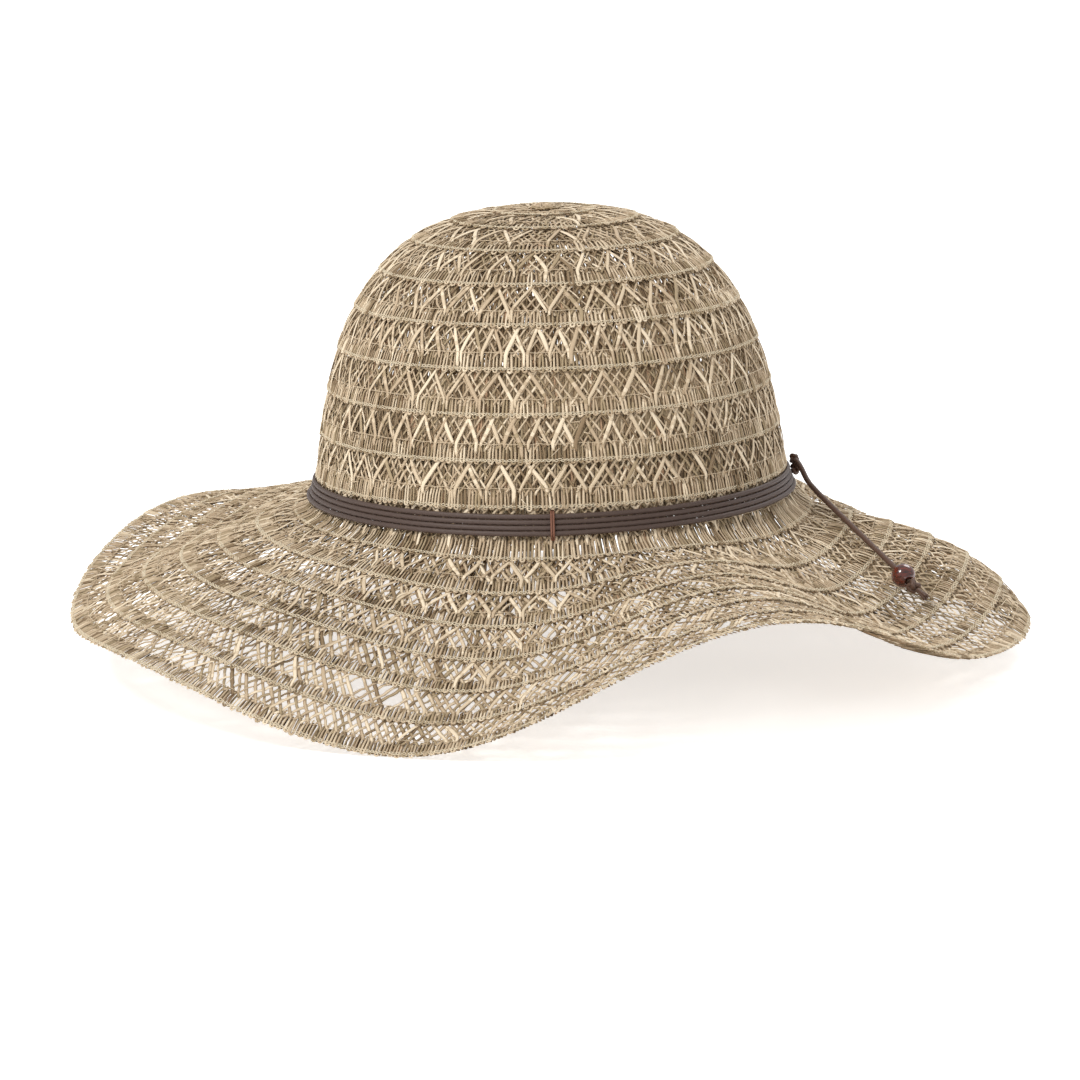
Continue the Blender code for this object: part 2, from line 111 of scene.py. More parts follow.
# Turns differ: period of the broad pale straws and the share of them that show, share of the width taken by
# the comb, spacing and width of the lattice's straws
ROW_STYLES = (
    (0.0100, 0.90, 0.40, 0.0026, 0.0010),
    (0.0110, 0.90, 0.38, 0.0028, 0.0010),
    (0.0125, 0.90, 0.36, 0.0030, 0.0010),
    (0.0105, 0.90, 0.40, 0.0032, 0.0009),
    (0.0125, 0.90, 0.34, 0.0036, 0.0009),
    (0.0080, 0.90, 0.37, 0.0034, 0.0009),
    (0.0130, 0.90, 0.35, 0.0036, 0.0009),
    (0.0090, 0.90, 0.37, 0.0035, 0.0009),
    (0.0125, 0.90, 0.40, 0.0036, 0.0010),
    (0.0130, 0.80, 0.46, 0.0034, 0.0011),
    (0.0115, 0.85, 0.46, 0.0034, 0.0013),
    (0.0120, 0.75, 0.42, 0.0034, 0.0013),
    (0.0115, 0.55, 0.40, 0.0035, 0.0013),
    (0.0130, 0.40, 0.38, 0.0036, 0.0014),
    (0.0125, 0.30, 0.36, 0.0036, 0.0014),
    (0.0125, 0.25, 0.42, 0.0036, 0.0014),
)
LATTICE_LEAN = 35.0          # of its straws, from square across the turn
STITCH_LENGTH = 0.0026
# Share of the straws close behind each turn, toned darker as painted shade, that is missing, so that more
# shows through
OPENNESS = (0.0, 0.0, 0.0, 0.0, 0.45, 0.0, 0.0, 0.0, 0.0, 0.0, 0.0, 0.25, 0.45, 0.70, 0.95, 1.0)
OPEN_SIDE = -35.0            # where round the hat the brim is most open
LOOKS_LIFT = 0.45            # share of the CAD's shingle lift that the real, softer edge shows
FLATNESS = 0.42              # a straw's thickness over its width
COMB_EDGE = 0.00055          # from a turn's lower edge up to where the comb's loops begin
COMB_WIDTHS = (0.46, 0.80)   # of its straws, as shares of their spacing
COMB_LIFTS = (-0.00030, 0.00025, 0.00035, 0.00025, 0.00015, 0.00015, 0.00025, 0.00035, 0.00025, -0.00030)
LOOP_TURNS = (25.0, 65.0, 115.0, 155.0)
LATTICE_STEPS = 10
WEAVE_DEPTH = 0.00030        # how far crossing straws pass over and under
BROAD_STEPS = 11
BROAD_WIDTHS = (0.0012, 0.0018)
BROAD_THICKNESS = 0.00042
BROAD_ARCH = 0.00080         # how far they stand out from the lattice
BACKING_PITCH = 0.0013
BACKING_THICKNESS = 0.0003
FILAMENT_STEP = 0.0022
LOOSE_END_SPACING = 0.010
SEAM_RISE = 0.85             # of the visible chain, in distances of the CAD's seam from the edge
CHAIN_STEPS = 8              # points for each stitch
CHAIN_SWAY = 0.00052
CHAIN_WIDTH = 0.00036
CHAIN_THICKNESS = 0.00030
CHAIN_BOLDNESS = (0.85, 1.15)   # on the crown and on the brim
BUTTON_COILS = ((0.0006, 0.0030, 0.0016), (0.0022, 0.0046, 0.0012), (0.0038, TIP_RADIUS + LAP, 0.0007))
BUTTON_SPOKES = 14

# ---------------- cords, bead and sweatband
BAND_STEPS = 900
BAND_SIDES = 14
BAND_LOOKS_RADIUS = 0.00098
BAND_BRAID_PITCH = 0.0035
TIE_SPREAD = 0.0004          # the tie's two threads lie this far to either side
TIE_LOOKS_RADIUS = 0.00042
KNOT_CORD_RADIUS = 0.0008
CORD_PITCH = 0.0042          # length in which the loose cord's strands wind round once
BEAD_STEPS = 32
BEAD_SIDES = 64
FRAYED_STRANDS = 6           # round a straight one in the middle
FRAYED_RADIUS = 0.00048
TAPE_STEPS = 360
TAPE_ROWS = 16
TAPE_STITCH = 0.003

# ---------------- the hat's place
lean = Matrix.Rotation(math.radians(LEAN_SIDE), 4, "Y") @ Matrix.Rotation(math.radians(-LEAN_BACK), 4, "X")
tip_low, tip_high = (Vector(corner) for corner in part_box("crown_tip"))
tip_lift = CROWN_HEIGHT + STRAW_THICKNESS + 2 * GAP - UPPER_EDGE_DEPTH
HAT = Matrix.Translation((tip_low + tip_high) / 2 - lean @ Vector((0.0, 0.0, tip_lift))) @ lean
TURN = np.array(lean.to_3x3())
SHIFT = np.array(HAT.translation)


# ---------------- the hat's surface
def wave_sum(mean, waves, angles):
    total = np.full_like(angles, mean)
    for turn, (size, crest) in enumerate(waves, start=1):
        total += size * np.cos(turn * angles - turn * math.radians(crest))
    return total


def crown_outline():
    """Distance from the top, radius, height and slope along the crown's wall."""
    rise = np.linspace(math.pi / 2, 0.0, OUTLINE_STEPS)
    height = CROWN_HEIGHT * np.sin(rise) ** (2 / DOME_TOP_POWER)
    taper = 1 - CROWN_TAPER * height / CROWN_HEIGHT
    radius = CROWN_RADIUS * taper * np.maximum(np.cos(rise), 0.0) ** (2 / DOME_SIDE_POWER)
    along = np.concatenate(([0.0], np.cumsum(np.hypot(np.diff(radius), np.diff(height)))))
    slope = np.degrees(np.arctan2(-np.gradient(height, along), np.gradient(radius, along)))
    return along, radius, height, slope


OUTLINE = crown_outline()
WALL_END = float(OUTLINE[0][-1])
WALL_SLOPE = float(OUTLINE[3][-2])
CROWN_END = WALL_END + BEND_LENGTH
CROWN_PITCH = (CROWN_END - LAST_CROWN_ROW - TIP_RADIUS) / (CROWN_ROWS - 1)
BRIM_PITCH = BRIM_WIDTH / BRIM_ROWS
ALONG_STEP = 0.0005          # of the grid that the surface is looked up on
ANGLE_COUNT = 720
GRID_MARGIN = 0.006


def surface_table():
    """Radius, height and slope of the hat's outer surface, over distances from the top and angles."""
    angles = np.linspace(0.0, 2 * math.pi, ANGLE_COUNT + 1)[:, None]
    along = np.arange(0.0, CROWN_END + BRIM_WIDTH + GRID_MARGIN, ALONG_STEP)[None, :]
    past = np.maximum(along - WALL_END, 0.0)
    start = wave_sum(BRIM_SLOPE, SLOPE_WAVES, angles)
    curl = wave_sum(BRIM_CURL, CURL_WAVES, angles)
    in_bend = WALL_SLOPE + (start - WALL_SLOPE) * past / BEND_LENGTH
    share = np.maximum(past - BEND_LENGTH, 0.0) / BRIM_WIDTH
    slope = np.where(past < BEND_LENGTH, in_bend, start + curl * share ** 2)
    tilt = np.radians((slope[:, 1:] + slope[:, :-1]) / 2)
    run = np.diff(past, axis=1)
    zero = np.zeros((ANGLE_COUNT + 1, 1))
    radius = np.concatenate((zero, np.cumsum(np.cos(tilt) * run, axis=1)), axis=1)
    height = -np.concatenate((zero, np.cumsum(np.sin(tilt) * run, axis=1)), axis=1)
    oval = 1 + CROWN_OVAL * np.cos(2 * angles)
    on_wall = along <= WALL_END
    flat = along[0]
    radius = np.where(on_wall, np.interp(flat, OUTLINE[0], OUTLINE[1]) * oval, CROWN_RADIUS * oval + radius)
    height = np.where(on_wall, np.interp(flat, OUTLINE[0], OUTLINE[2]), height)
    slope = np.where(on_wall, np.interp(flat, OUTLINE[0], OUTLINE[3]), slope)
    step = np.clip((along - WALL_END) / DIP_LENGTH, 0.0, 1.0)
    drop = DIP[0] * np.cos(angles) + DIP[1] * np.sin(angles) + DIP[2] * np.cos(2 * angles)
    height = height + drop * step * step * (3 - 2 * step)
    return np.stack((radius, height, np.radians(slope)), axis=-1)


TABLE = surface_table()


def look_up(along, angle):
    """Radius, height and slope at given distances from the top and angles in radians."""
    column = np.clip(along / ALONG_STEP, 0.0, TABLE.shape[1] - 1.001)
    row = np.mod(angle / (2 * math.pi), 1.0) * ANGLE_COUNT
    i = np.minimum(row.astype(int), ANGLE_COUNT - 1)
    j = column.astype(int)
    a = (row - i)[..., None]
    b = (column - j)[..., None]
    return ((TABLE[i, j] * (1 - a) + TABLE[i + 1, j] * a) * (1 - b)
            + (TABLE[i, j + 1] * (1 - a) + TABLE[i + 1, j + 1] * a) * b)


def on_hat(along, angle, offset):
    """World points and outward directions: distance from the top, angle in radians, height over the straw."""
    found = look_up(along, angle)
    radius, height, slope = found[..., 0], found[..., 1], found[..., 2]
    out, up = np.sin(slope), np.cos(slope)
    point_radius = radius + offset * out
    rise = height + offset * up
    points = np.stack((point_radius * np.sin(angle), -point_radius * np.cos(angle), rise), axis=-1)
    normals = np.stack((out * np.sin(angle), -out * np.cos(angle), up), axis=-1)
    return points @ TURN.T + SHIFT, normals @ TURN.T


def seam_at(number):
    """Distance from the top to a seam: seam 0 is the tip's rim, and seam n is the nth turn's lower edge."""
    if number < CROWN_ROWS:
        return TIP_RADIUS + number * CROWN_PITCH
    return CROWN_END + (number - CROWN_ROWS) * BRIM_PITCH


def row_start(row):
    return seam_at(row) - (0.0 if row == 0 else LAP)


def row_end(row):
    return seam_at(row + 1)


def row_offset(row, along):
    """Middle of the CAD's turn over the hat's outer surface."""
    share = (along - row_start(row)) / (row_end(row) - row_start(row))
    return SHINGLE_LIFT * share - UPPER_EDGE_DEPTH


def straw_offset(row, along):
    """Middle of the visible straws, which step less from turn to turn."""
    return row_offset(row, along) * LOOKS_LIFT


def mean_radius(row):
    middle = (row_start(row) + row_end(row)) / 2
    angles = np.linspace(0, 2 * math.pi, ANGLE_COUNT)
    return float(look_up(np.full(ANGLE_COUNT, middle), angles)[:, 0].mean())


# ---------------- making meshes
def section(corners):
    """Corner offsets of a straw's cross-section, as shares of its half width and half thickness."""
    if corners == 4:
        return np.array(((1, 0), (0, 1), (-1, 0), (0, -1)), float)
    turns = 2 * math.pi * np.arange(corners) / corners
    return np.stack((np.cos(turns), np.sin(turns)), axis=-1)


def strand_mesh(points, normals, width, thickness, tones, corners=4, closed=False):
    """Verts, quads, tones and UVs of n strands of k points each: width and thickness are (n, k) or (n, 1)."""
    count, steps = points.shape[:2]
    if closed:
        heading = np.roll(points, -1, axis=1) - np.roll(points, 1, axis=1)
    else:
        heading = np.gradient(points, axis=1)
    heading /= np.maximum(np.linalg.norm(heading, axis=-1, keepdims=True), 1e-9)
    side = np.cross(heading, normals)
    side /= np.maximum(np.linalg.norm(side, axis=-1, keepdims=True), 1e-9)
    up = np.cross(side, heading)
    shape = section(corners)
    width = np.broadcast_to(width, (count, steps))[..., None, None]
    thickness = np.broadcast_to(thickness, (count, steps))[..., None, None]
    verts = (points[:, :, None, :] + side[:, :, None, :] * shape[None, None, :, :1] * width / 2
             + up[:, :, None, :] * shape[None, None, :, 1:] * thickness / 2)
    ids = np.arange(count * steps * corners).reshape(count, steps, corners)
    turn = np.roll(ids, -1, axis=2)
    if closed:
        ahead, ahead_turn = np.roll(ids, -1, axis=1), np.roll(turn, -1, axis=1)
        quads = np.stack((ids, ahead, ahead_turn, turn), axis=-1)
    else:
        quads = np.stack((ids[:, :-1], ids[:, 1:], turn[:, 1:], turn[:, :-1]), axis=-1)
    reach = np.concatenate((np.zeros((count, 1)),
                            np.cumsum(np.linalg.norm(np.diff(points, axis=1), axis=-1), axis=1)), axis=1)
    tones = np.broadcast_to(np.asarray(tones).reshape(count, -1), (count, quads.shape[1]))
    face_tones = np.repeat(tones[:, :, None], corners, axis=2).reshape(-1)
    uv_along = np.repeat(reach[:, :, None], corners, axis=2).reshape(-1)
    uv_across = np.broadcast_to(np.arange(corners) / corners + np.arange(count)[:, None, None] * 0.37,
                                (count, steps, corners)).reshape(-1)
    uv = np.stack((uv_along, uv_across * 0.004), axis=-1)
    quads = quads.reshape(-1, 4)
    if not closed:
        caps, cap_tones = [], []
        for end, order in ((0, 1), (-1, -1)):
            ring = ids[:, end, ::order]
            for k in range(1, corners - 1, 2):
                caps.append(ring[:, [0, k, k + 1, (k + 2) % corners]])
                cap_tones.append(tones[:, 0])
        quads = np.concatenate((quads, *caps))
        face_tones = np.concatenate((face_tones, *cap_tones))
    return verts.reshape(-1, 3), quads, face_tones, uv


def join(parts):
    shift, shifted = 0, []
    for verts, quads, tones, uv in parts:
        shifted.append((verts, quads + shift, tones, uv))
        shift += len(verts)
    return [np.concatenate(arrays) for arrays in zip(*shifted)]


def add_item(name, data):
    item = bpy.data.objects.new(name, data)
    bpy.context.scene.collection.objects.link(item)
    return item


def make_object(name, parts, looks, body="hat", replaces=()):
    verts, quads, tones, uv = join(parts)
    mesh = bpy.data.meshes.new(name)
    mesh.vertices.add(len(verts))
    mesh.vertices.foreach_set("co", verts.astype(np.float32).reshape(-1))
    mesh.loops.add(quads.size)
    mesh.loops.foreach_set("vertex_index", quads.astype(np.int32).reshape(-1))
    mesh.polygons.add(len(quads))
    mesh.polygons.foreach_set("loop_start", np.arange(0, quads.size, 4, dtype=np.int32))
    mesh.polygons.foreach_set("material_index", tones.astype(np.int32))
    layer = mesh.uv_layers.new(name="strand")
    layer.data.foreach_set("uv", uv[quads.reshape(-1)].astype(np.float32).reshape(-1))
    mesh.update(calc_edges=True)
    mesh.validate()
    mesh.shade_smooth()
    for look in looks:
        mesh.materials.append(look)
    item = add_item(name, mesh)
    if replaces:
        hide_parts(*replaces)
    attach(item, body)
    return item


# ---------------- materials
def linear(red, green, blue):
    """A colour given in 0-255 display values, as the linear values that a shader takes."""
    shares = (value / 255 for value in (red, green, blue))
    return (*(s / 12.92 if s <= 0.04045 else ((s + 0.055) / 1.055) ** 2.4 for s in shares), 1.0)


def plain(name, colour, roughness, specular=0.5):
    made = bpy.data.materials.new(name)
    made.use_nodes = True
    shader = made.node_tree.nodes["Principled BSDF"]
    shader.inputs["Base Color"].default_value = colour
    shader.inputs["Roughness"].default_value = roughness
    shader.inputs["Specular IOR Level"].default_value = specular
    return made, made.node_tree, shader


def add_bump(tree, shader, height, strength, distance):
    bump = tree.nodes.new("ShaderNodeBump")
    bump.inputs["Strength"].default_value = strength
    bump.inputs["Distance"].default_value = distance
    tree.links.new(height, bump.inputs["Height"])
    tree.links.new(bump.outputs["Normal"], shader.inputs["Normal"])


def stretched_noise(tree, place, scales, detail):
    """Noise drawn out along the direction with the smallest scale."""
    mapping = tree.nodes.new("ShaderNodeMapping")
    mapping.inputs["Scale"].default_value = scales
    noise = tree.nodes.new("ShaderNodeTexNoise")
    noise.inputs["Scale"].default_value = 1.0
    noise.inputs["Detail"].default_value = detail
    tree.links.new(place, mapping.inputs["Vector"])
    tree.links.new(mapping.outputs["Vector"], noise.inputs["Vector"])
    return noise.outputs["Fac"]


def strand_place(tree):
    """The length along a strand and the way round it, from its own UV layer."""
    uv = tree.nodes.new("ShaderNodeUVMap")
    uv.uv_map = "strand"
    return uv.outputs["UV"]


def fibre_look(name, colour, roughness, specular, scales, detail, strength, depth):
    """Fibres that run along each strand."""
    made, tree, shader = plain(name, linear(*colour), roughness, specular)
    add_bump(tree, shader, stretched_noise(tree, strand_place(tree), scales, detail), strength, depth)
    return made


# Specular, scales and detail of the fibres' noise, strength and depth of its bumps
STRAW_FIBRES = (0.35, (500.0, 3500.0, 1.0), 3.0, 0.7, 0.00012)
THREAD_FIBRES = (0.3, (1500.0, 3000.0, 1.0), 2.0, 0.6, 0.00010)
CORD_FIBRES = (0.4, (900.0, 5200.0, 1.0), 4.0, 0.8, 0.00012)
STRAW_TONES = (
    ("straw_pale", (236, 218, 190), 0.50),
    ("straw_light", (214, 194, 165), 0.55),
    ("straw_tan", (192, 170, 141), 0.60),
    ("straw_olive", (170, 150, 119), 0.62),
    ("straw_brown", (142, 120, 92), 0.65),
    ("straw_red", (190, 156, 124), 0.60),
    ("straw_dark", (104, 84, 61), 0.70),
)
TONE_SHARES = np.array((0.08, 0.26, 0.32, 0.20, 0.08, 0.04, 0.02))
COMB_SHARES = np.array((0.05, 0.28, 0.38, 0.20, 0.06, 0.03, 0.00))
BROAD_SHARES = np.array((0.26, 0.44, 0.22, 0.05, 0.0, 0.03, 0.0))
# Tones of the straws behind the braid: darker, as painted shade in its gaps
SHADE_BACKING_SHARES = np.array((0.0, 0.05, 0.20, 0.35, 0.25, 0.05, 0.10))
straw = [fibre_look(name, colour, roughness, *STRAW_FIBRES) for name, colour, roughness in STRAW_TONES]
PALE, LIGHT, TAN, OLIVE, BROWN = range(5)
seam_thread = fibre_look("seam_thread_look", (224, 210, 184), 0.75, *THREAD_FIBRES)


# ---------------- braid rows
def on_row(row, radius, across, share, lift):
    """Points on a turn: across is the length round it, and share runs from its upper edge to its lower."""
    along = row_start(row) + share * (row_end(row) - row_start(row))
    return on_hat(along, across / radius, straw_offset(row, along) + lift)


def pick_tones(rng, count, shares=TONE_SHARES):
    return rng.choice(len(shares), size=count, p=shares)


def mottle(rng, tones, steps):
    """A straw's tone shifts to a neighbouring one here and there along it."""
    shift = (rng.random((len(tones), steps - 1)) < 0.18) * rng.choice((-1, 1), (len(tones), steps - 1))
    return np.clip(tones[:, None] + shift, PALE, BROWN)


def comb_straws(row, radius, width, comb, rng):
    """Pairs of straws side by side that turn into each other in a loop at the lower edge."""
    pairs = max(4, round(2 * math.pi * radius / (2 * TOOTH_PITCH)))
    pitch = math.pi * radius / pairs
    centre = (2 * pitch * np.arange(pairs) + rng.normal(0, 0.00016, pairs))[:, None]
    top_left = 1 - comb + rng.normal(-0.02, 0.035, (pairs, 1))
    top_right = 1 - comb + rng.normal(-0.02, 0.035, (pairs, 1))
    low = 1 - (COMB_EDGE + rng.normal(0, 0.00020, (pairs, 1))) / width
    arc = pitch / 2
    drift_left = rng.normal(0, 0.00045, (pairs, 1))
    drift_right = rng.normal(0, 0.00045, (pairs, 1))
    turns = np.radians(np.array(LOOP_TURNS))[None, :]
    bottom_share = low + arc * np.sin(turns) / width
    bottom_across = -arc * np.cos(turns) * np.ones((pairs, 1))
    share = np.concatenate((top_left, (top_left + low) / 2, low, bottom_share, low, (top_right + low) / 2,
                            top_right), axis=1)
    one = np.ones((pairs, 1)) * arc
    across = np.concatenate((-one + drift_left, -one + drift_left * 0.3, -one, bottom_across, one,
                             one + drift_right * 0.3, one + drift_right), axis=1) + centre
    lift = np.array(COMB_LIFTS)[None, :]
    lift = lift + rng.normal(0, 0.00018, (pairs, 1)) + rng.normal(0, 0.00006, (pairs, lift.shape[1]))
    points, normals = on_row(row, radius, across, share, lift)
    size = pitch * rng.uniform(*COMB_WIDTHS, (pairs, 1)) * (1 + rng.normal(0, 0.08, lift.shape))
    tones = mottle(rng, pick_tones(rng, pairs, COMB_SHARES), lift.shape[1])
    return strand_mesh(points, normals, size, pitch * FLATNESS, tones)


def lattice_straws(row, radius, width, comb, spacing, straw_width, rng):
    """Two families of parallel straws that cross over and under each other."""
    parts = []
    count = max(5, round(2 * math.pi * radius / spacing))
    spacing = 2 * math.pi * radius / count
    slope = math.tan(math.radians(LATTICE_LEAN))
    steps = LATTICE_STEPS
    for family in (1, -1):
        number = np.arange(count)
        number = number[rng.random(count) > 0.05]
        total = len(number)
        first = rng.uniform(-0.01, 0.03, (total, 1))
        last = 1 - comb + rng.uniform(0.06, 0.16, (total, 1))
        share = first + (last - first) * np.linspace(0, 1, steps)[None, :]
        lean = family * slope * (1 + rng.normal(0, 0.09, (total, 1)))
        bow = rng.normal(0, 0.00030, (total, 1)) * np.sin(math.pi * np.linspace(0, 1, steps))[None, :]
        wobble = rng.normal(0, 0.00030, (total, 1)) + rng.normal(0, 0.00008, (total, steps)) + bow
        across = number[:, None] * spacing + lean * (share - 0.3) * width + wobble
        lift = family * WEAVE_DEPTH * np.cos(2 * math.pi * across / spacing)
        lift = lift + rng.normal(0, 0.00010, (total, 1)) + 0.00005
        points, normals = on_row(row, radius, across, share, lift)
        size = straw_width * rng.uniform(0.72, 1.22, (total, 1)) * (1 + rng.normal(0, 0.10, (total, steps)))
        parts.append(strand_mesh(points, normals, size, straw_width * FLATNESS,
                                 mottle(rng, pick_tones(rng, total), steps)))
    return parts


def broad_straws(row, radius, comb, period, shown, rng):
    """Broad pale straws that meet in a row of Vs over the lattice and end in the comb."""
    parts = []
    count = max(3, round(2 * math.pi * radius / period))
    period = 2 * math.pi * radius / count
    steps = BROAD_STEPS
    step = np.linspace(0, 1, steps)[None, :]
    for family in (1, -1):
        number = np.arange(count)
        number = number[rng.random(count) < shown]
        total = len(number)
        top = rng.uniform(0.07, 0.12, (total, 1))
        knee = 1 - comb + rng.uniform(-0.03, 0.05, (total, 1))
        bottom = knee + rng.uniform(0.02, 0.30, (total, 1))
        share = top + (np.minimum(bottom, 0.95) - top) * step
        reach = np.clip((knee - share) / (knee - top), 0.0, 1.0)
        side = family * (period * rng.uniform(0.44, 0.58, (total, 1)) * reach + TOOTH_PITCH * 0.55)
        bow = rng.normal(0, 0.00035, (total, 1)) * np.sin(math.pi * step)
        across = number[:, None] * period + side + bow + rng.normal(0, 0.00040, (total, 1))
        lift = BROAD_ARCH * np.sin(math.pi * np.clip(step * 0.96 + 0.02, 0, 1)) ** 0.5 + 0.00012 * family
        lift = lift + rng.normal(0, 0.00010, (total, 1))
        points, normals = on_row(row, radius, across, share, lift)
        pointed = 0.42 + 0.58 * np.sin(math.pi * (0.12 + 0.80 * step)) ** 0.8
        size = rng.uniform(*BROAD_WIDTHS, (total, 1)) * pointed
        parts.append(strand_mesh(points, normals, size, BROAD_THICKNESS,
                                 mottle(rng, pick_tones(rng, total, BROAD_SHARES), steps), corners=6))
    return parts


def shade_backing_straws(row, radius, rng):
    """Straws close behind the comb and the lattice, in darker tones as painted shade where they show in their
    gaps. On the brim some are missing, most of all towards its open side."""
    full = max(5, round(2 * math.pi * radius / BACKING_PITCH))
    spacing = 2 * math.pi * radius / full
    number = np.arange(full)
    missing = OPENNESS[row]
    if row >= CROWN_ROWS:
        round_hat = 2 * math.pi * number / full - math.radians(OPEN_SIDE)
        missing = missing * np.clip(0.62 + 0.60 * np.cos(round_hat), 0.05, 1.0)
    number = number[rng.random(full) > missing]
    count = len(number)
    first = rng.uniform(0.0, 0.06, (count, 1))
    last = rng.uniform(0.90, 0.97, (count, 1))
    step = np.linspace(0, 1, 5)[None, :]
    share = first + (last - first) * step
    lean = rng.normal(0, 0.0016, (count, 1))
    across = number[:, None] * spacing + lean * (step - 0.5) + rng.normal(0, 0.0002, (count, 1))
    lift = rng.uniform(-0.0009, -0.0005, (count, 1)) * np.ones_like(step)
    points, normals = on_row(row, radius, across, share, lift)
    size = rng.uniform(0.0008, 0.0015, (count, 1))
    return strand_mesh(points, normals, size, BACKING_THICKNESS, pick_tones(rng, count, SHADE_BACKING_SHARES))


def comb_shade_backing(row, radius, comb, rng):
    """The comb's far straws, in darker tones as painted shade, seen between the near ones."""
    count = max(4, round(2 * math.pi * radius / TOOTH_PITCH))
    pitch = 2 * math.pi * radius / count
    step = np.linspace(0, 1, 3)[None, :]
    first = 1 - comb + rng.uniform(-0.01, 0.06, (count, 1))
    share = first + (0.975 - first) * step
    across = (np.arange(count)[:, None] + 0.5) * pitch + rng.normal(0, 0.0002, (count, 3))
    lift = rng.uniform(-0.00065, -0.0004, (count, 1)) * np.ones_like(step)
    points, normals = on_row(row, radius, across, share, lift)
    size = pitch * rng.uniform(0.6, 1.0, (count, 1))
    return strand_mesh(points, normals, size, BACKING_THICKNESS, pick_tones(rng, count, SHADE_BACKING_SHARES))


def ring_thread(row, radius, share, lift, size, rng):
    """A fine filament all the way round a turn."""
    steps = max(24, round(2 * math.pi * radius / FILAMENT_STEP))
    across = np.linspace(0, 2 * math.pi * radius, steps, endpoint=False)[None, :]
    share = share + rng.normal(0, 0.006, (1, steps))
    lift = lift + rng.normal(0, 0.0001, (1, steps))
    points, normals = on_row(row, radius, across, share, lift)
    return strand_mesh(points, normals, size, size, [LIGHT], closed=True)


def loose_ends(row, radius, width, rng):
    """Short ends and splinters of straw that stand off a little."""
    total = max(3, round(2 * math.pi * radius / LOOSE_END_SPACING))
    start = rng.uniform(0, 2 * math.pi * radius, (total, 1))
    from_share = rng.uniform(0.12, 0.85, (total, 1))
    step = np.linspace(0, 1, 4)[None, :]
    length = rng.uniform(0.002, 0.006, (total, 1))
    heading = np.radians(rng.uniform(0, 360, (total, 1)))
    across = start + length * np.cos(heading) * step
    share = np.clip(from_share + length * np.sin(heading) * step / width, 0.1, 0.95)
    lift = 0.0004 + rng.uniform(0.0, 0.0010, (total, 1)) * step
    points, normals = on_row(row, radius, across, share, lift)
    size = rng.uniform(0.0003, 0.0006, (total, 1)) * (1.1 - 0.8 * step)
    return strand_mesh(points, normals, size, size * 0.5, pick_tones(rng, total, BROAD_SHARES))


def braid_row(row):
    """All the straws of one turn."""
    rng = np.random.default_rng(700 + row)
    radius = mean_radius(row)
    width = row_end(row) - row_start(row)
    period, shown, comb, spacing, straw_width = ROW_STYLES[row]
    parts = [comb_straws(row, radius, width, comb, rng), comb_shade_backing(row, radius, comb, rng)]
    parts += lattice_straws(row, radius, width, comb, spacing, straw_width, rng)
    parts += broad_straws(row, radius, comb, period, shown, rng)
    parts.append(shade_backing_straws(row, radius, rng))
    parts.append(ring_thread(row, radius, 1 - comb + 0.01, 0.00062, 0.00026, rng))
    parts.append(ring_thread(row, radius, 0.04, 0.0002, 0.0005, rng))
    parts.append(loose_ends(row, radius, width, rng))
    place, number = ("brim", row - CROWN_ROWS + 1) if row >= CROWN_ROWS else ("crown", row + 1)
    make_object(f"{place}_straw_{number:02d}", parts, straw,
                replaces=(f"{place}_braid_row_{number:02d}",))


def seam_stitches(row):
    """A chain of loops along the lower edge of a turn."""
    rng = np.random.default_rng(900 + row)
    along = row_end(row) - SEAM_FROM_EDGE * SEAM_RISE
    radius = float(look_up(np.full(64, along), np.linspace(0, 2 * math.pi, 64))[:, 0].mean())
    loops = max(6, round(2 * math.pi * radius / STITCH_LENGTH))
    bold = CHAIN_BOLDNESS[row >= CROWN_ROWS]
    turn = np.linspace(0, 2 * math.pi * loops, loops * CHAIN_STEPS, endpoint=False)
    base = straw_offset(row, along) + 0.00040
    parts = []
    for phase in (0.0, math.pi):
        angle = (turn + 0.9 * np.sin(2 * turn + phase)) / loops
        sway = CHAIN_SWAY * bold * np.sin(turn + phase) + rng.normal(0, 0.00010, len(turn))
        lift = base + 0.00024 * np.cos(2 * turn + phase) + rng.normal(0, 0.00006, len(turn))
        points, normals = on_hat((along + sway)[None, :], angle[None, :], lift[None, :])
        parts.append(strand_mesh(points, normals, CHAIN_WIDTH * bold, CHAIN_THICKNESS, [0], closed=True))
    place, number = ("brim", row - CROWN_ROWS + 2) if row >= CROWN_ROWS - 1 else ("crown", row + 1)
    make_object(f"{place}_stitches_{number:02d}", parts, [seam_thread],
                replaces=(f"{place}_seam_thread_{number:02d}",))


